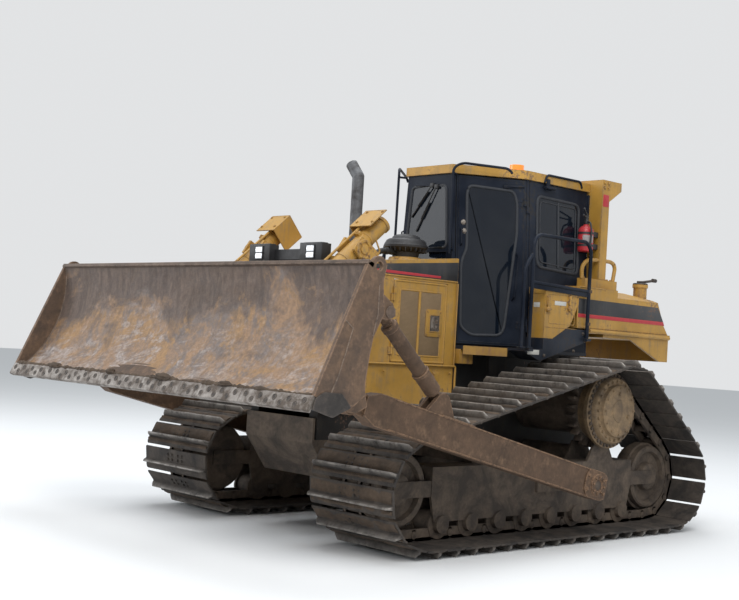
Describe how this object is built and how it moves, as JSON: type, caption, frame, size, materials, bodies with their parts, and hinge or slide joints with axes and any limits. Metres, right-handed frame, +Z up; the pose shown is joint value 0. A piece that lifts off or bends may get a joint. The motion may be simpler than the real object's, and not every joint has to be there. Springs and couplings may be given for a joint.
{
  "type": "bulldozer",
  "caption": "Tracked bulldozer with raised drive wheels, wide low ground pressure tracks, a straight blade on push arms, closed cab and rear roll-over bar.",
  "frame": {"origin": "bottom centre of the whole machine, on the plane of the track lug tips", "axes": "+Z up, the machine faces -Y, +X is the machine's own left"},
  "size_m": [3.99, 5.638, 3.275],
  "materials": {
    "track_steel": "muddy worn steel",
    "frame_steel": "muddy worn paint",
    "hub_tan": "dusty paint",
    "yellow_paint": "faded satin paint",
    "black_paint": "satin dark paint",
    "blade_steel": "scoured rusty steel",
    "edge_steel": "worn bare steel",
    "arm_rust": "rusty steel",
    "rod_chrome": "hard chrome",
    "engine_iron": "oily cast iron",
    "clear_glass": "dark tinted glass",
    "amber_lens": "amber lens",
    "red_paint": "gloss red paint",
    "seat_cloth": "dark cloth",
    "lamp_black": "black housing"
  },
  "bodies": {
    "chassis": {"left_track": "track_steel", "right_track": "track_steel", "left_roller_frame": "frame_steel", "right_roller_frame": "frame_steel", "left_rollers": "frame_steel", "right_rollers": "frame_steel", "drive_wheels": "hub_tan", "final_drives": "yellow_paint", "pivot_shafts": "frame_steel", "main_frame": "yellow_paint", "equalizer_bar": "frame_steel", "belly_guard": "yellow_paint", "engine": "engine_iron", "radiator_guard": "yellow_paint", "radiator": "engine_iron", "grille": "black_paint", "hood": "black_paint", "side_panels": "yellow_paint", "exhaust_stack": "engine_iron", "air_intake": "black_paint", "cab_front": "black_paint", "left_cab_side": "black_paint", "right_cab_side": "black_paint", "cab_rear": "black_paint", "cab_glass": "clear_glass", "cab_floor": "black_paint", "cab_roof": "yellow_paint", "beacon": "amber_lens", "seat": "seat_cloth", "dash": "lamp_black", "deck": "yellow_paint", "fuel_tank": "yellow_paint", "tank_shoulders": "yellow_paint", "fenders": "black_paint", "tool_box": "yellow_paint", "hydraulic_tank": "yellow_paint", "hand_rails": "black_paint", "roll_over_bar": "yellow_paint", "extinguisher": "red_paint", "lift_yokes": "yellow_paint", "work_lamps": "lamp_black"},
    "carrier": {"trunnion_balls": "frame_steel"},
    "left_arm": {"left_push_arm": "arm_rust"},
    "right_arm": {"right_push_arm": "arm_rust"},
    "blade_body": {"blade": "blade_steel", "cutting_edge": "edge_steel"},
    "brace_body": {"left_brace": "arm_rust"},
    "tilt_cylinder": {"tilt_barrel": "arm_rust"},
    "tilt_piston": {"tilt_rod": "rod_chrome"},
    "left_cylinder": {"left_lift_barrel": "yellow_paint"},
    "right_cylinder": {"right_lift_barrel": "yellow_paint"},
    "left_piston": {"left_lift_rod": "rod_chrome"},
    "right_piston": {"right_lift_rod": "rod_chrome"},
    "left_door": {"left_cab_door": "black_paint", "left_door_glass": "clear_glass"},
    "right_door": {"right_cab_door": "black_paint", "right_door_glass": "clear_glass"},
    "left_side_door": {"left_engine_door": "yellow_paint"},
    "right_side_door": {"right_engine_door": "yellow_paint"}
  },
  "joints": [
    {"name": "blade_lift", "type": "hinge", "parent": "chassis", "child": "carrier", "pos_m": [0, 0.525, 0.51], "axis": [1, 0, 0], "range_deg": [0, 30]},
    {"name": "blade_tilt", "type": "hinge", "parent": "carrier", "child": "blade_body", "pos_m": [0, -2.13897, 1.48304], "axis": [0, 0.9726, -0.2325], "range_deg": [-5, 5]},
    {"name": "left_arm_swing", "type": "hinge", "parent": "carrier", "child": "left_arm", "pos_m": [0, 0.525, 0.51], "axis": [1, 0, 0], "range_deg": [-3.1, 3.1]},
    {"name": "right_arm_swing", "type": "hinge", "parent": "carrier", "child": "right_arm", "pos_m": [0, 0.525, 0.51], "axis": [1, 0, 0], "range_deg": [-3.1, 3.1]},
    {"name": "brace_swing", "type": "hinge", "parent": "left_arm", "child": "brace_body", "pos_m": [0, -1.342, 1.187], "axis": [1, 0, 0], "range_deg": [-1, 1]},
    {"name": "tilt_swing", "type": "hinge", "parent": "right_arm", "child": "tilt_cylinder", "pos_m": [0, -1.342, 1.187], "axis": [1, 0, 0], "range_deg": [-1, 1]},
    {"name": "tilt_extend", "type": "slide", "parent": "tilt_cylinder", "child": "tilt_piston", "axis": [0, -0.7303, 0.6831], "range_m": [-0.033, 0.033]},
    {"name": "left_lift_swing", "type": "hinge", "parent": "chassis", "child": "left_cylinder", "pos_m": [0.62, -1.27, 2.295], "axis": [1, 0, 0], "range_deg": [0, 26]},
    {"name": "right_lift_swing", "type": "hinge", "parent": "chassis", "child": "right_cylinder", "pos_m": [-0.62, -1.27, 2.295], "axis": [1, 0, 0], "range_deg": [0, 26]},
    {"name": "left_lift_extend", "type": "slide", "parent": "left_cylinder", "child": "left_piston", "axis": [0, -0.7621, -0.6475], "range_m": [0, 1.3]},
    {"name": "right_lift_extend", "type": "slide", "parent": "right_cylinder", "child": "right_piston", "axis": [0, -0.7621, -0.6475], "range_m": [0, 1.3]},
    {"name": "left_cab_door_swing", "type": "hinge", "parent": "chassis", "child": "left_door", "pos_m": [0.741, 0.759, 1.59], "axis": [-0.0583, 0, 0.9983], "range_deg": [0, 40]},
    {"name": "right_cab_door_swing", "type": "hinge", "parent": "chassis", "child": "right_door", "pos_m": [-0.741, 0.759, 1.59], "axis": [-0.0583, 0, -0.9983], "range_deg": [0, 40]},
    {"name": "left_engine_door_swing", "type": "hinge", "parent": "chassis", "child": "left_side_door", "pos_m": [0.448, -0.637, 1.8], "axis": [0, 0, -1], "range_deg": [0, 100]},
    {"name": "right_engine_door_swing", "type": "hinge", "parent": "chassis", "child": "right_side_door", "pos_m": [-0.448, -0.637, 1.8], "axis": [0, 0, 1], "range_deg": [0, 100]}
  ],
  "couplings": [
    {"joint": "left_arm_swing", "follows": "blade_tilt", "ratio": 0.60153},
    {"joint": "right_arm_swing", "follows": "blade_tilt", "ratio": -0.60153},
    {"joint": "brace_swing", "follows": "blade_tilt", "ratio": -0.17},
    {"joint": "tilt_swing", "follows": "blade_tilt", "ratio": 0.17},
    {"joint": "tilt_extend", "follows": "blade_tilt", "m_per_rad": 0.3667},
    {"joint": "left_lift_swing", "follows": "blade_lift", "ratio": 0.86},
    {"joint": "right_lift_swing", "follows": "blade_lift", "ratio": 0.86},
    {"joint": "left_lift_extend", "follows": "blade_lift", "m_per_rad": 2.48},
    {"joint": "right_lift_extend", "follows": "blade_lift", "m_per_rad": 2.48}
  ]
}
